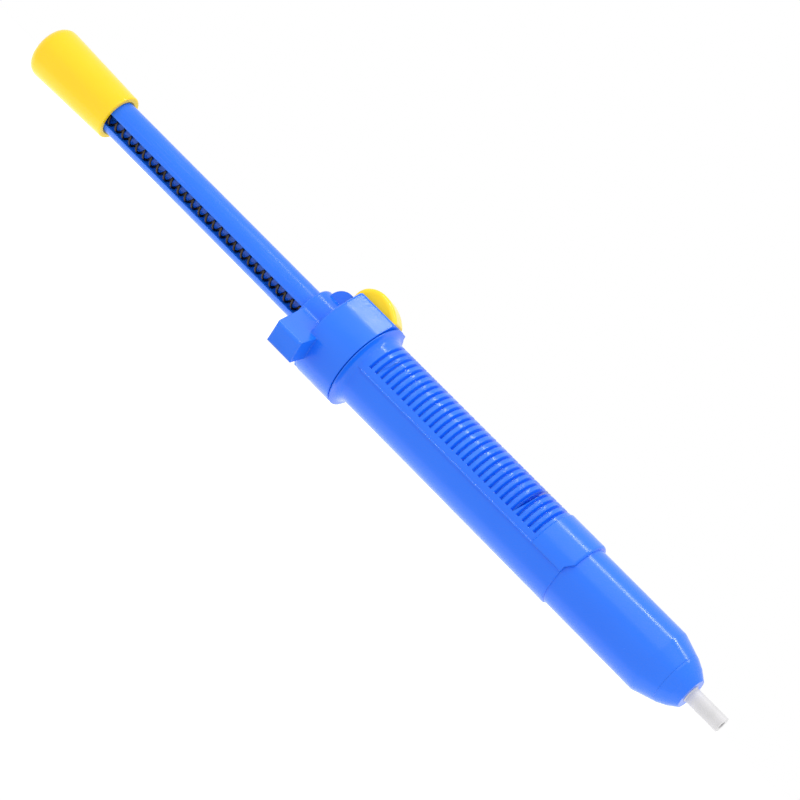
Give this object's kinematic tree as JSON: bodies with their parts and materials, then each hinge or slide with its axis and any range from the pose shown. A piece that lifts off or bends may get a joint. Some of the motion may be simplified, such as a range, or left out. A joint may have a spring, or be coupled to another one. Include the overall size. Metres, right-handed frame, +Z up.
{
  "type": "desoldering pump",
  "caption": "Spring-loaded desoldering pump: ribbed barrel with a coned nose and plastic tip, slotted plunger with an end knob, and a thumb release on the rear collar.",
  "frame": {"origin": "middle of the bounding box's base, under the pump's own axis, with the pump fired and lying on its two wings", "axes": "+X along the pump's axis towards the nozzle tip; +Z up through the release button; +Y completes the right-handed set"},
  "size_m": [0.3594, 0.0494, 0.0408],
  "materials": {
    "blue_plastic": "glossy moulded blue",
    "yellow_plastic": "glossy moulded yellow",
    "white_plastic": "waxy white fluoropolymer",
    "spring_steel": "dark oiled spring wire",
    "plated_steel": "zinc plated",
    "black_rubber": "moulded rubber"
  },
  "bodies": {
    "barrel": {"barrel": "blue_plastic"},
    "nozzle": {"nose_plug": "blue_plastic", "nozzle_tube": "white_plastic"},
    "collar": {"collar": "blue_plastic", "latch_spring": "spring_steel", "main_spring": "spring_steel"},
    "button": {"release_button": "yellow_plastic", "latch_plate": "plated_steel"},
    "plunger": {"plunger_shaft": "blue_plastic", "knob": "yellow_plastic", "bumper": "black_rubber", "piston_head": "white_plastic", "piston_o_ring": "black_rubber", "piston_washer": "plated_steel", "piston_screw": "plated_steel"}
  },
  "joints": [
    {"name": "nozzle_pull", "type": "slide", "parent": "barrel", "child": "nozzle", "axis": [1, 0, 0], "range_m": [0, 0.014]},
    {"name": "collar_twist", "type": "hinge", "parent": "barrel", "child": "collar", "pos_m": [-0.0011, 0, 0.01795], "axis": [1, 0, 0], "range_deg": [0, 30]},
    {"name": "plunger_slide", "type": "slide", "parent": "collar", "child": "plunger", "axis": [1, 0, 0], "range_m": [0, 0.103], "stiffness_N_per_m": 200, "springref_m": -0.05, "deforming": ["main_spring"]},
    {"name": "button_press", "type": "slide", "parent": "collar", "child": "button", "axis": [0, 0, -1], "range_m": [0, 0.002], "stiffness_N_per_m": 900, "springref_m": -0.002, "deforming": ["latch_spring"]}
  ]
}
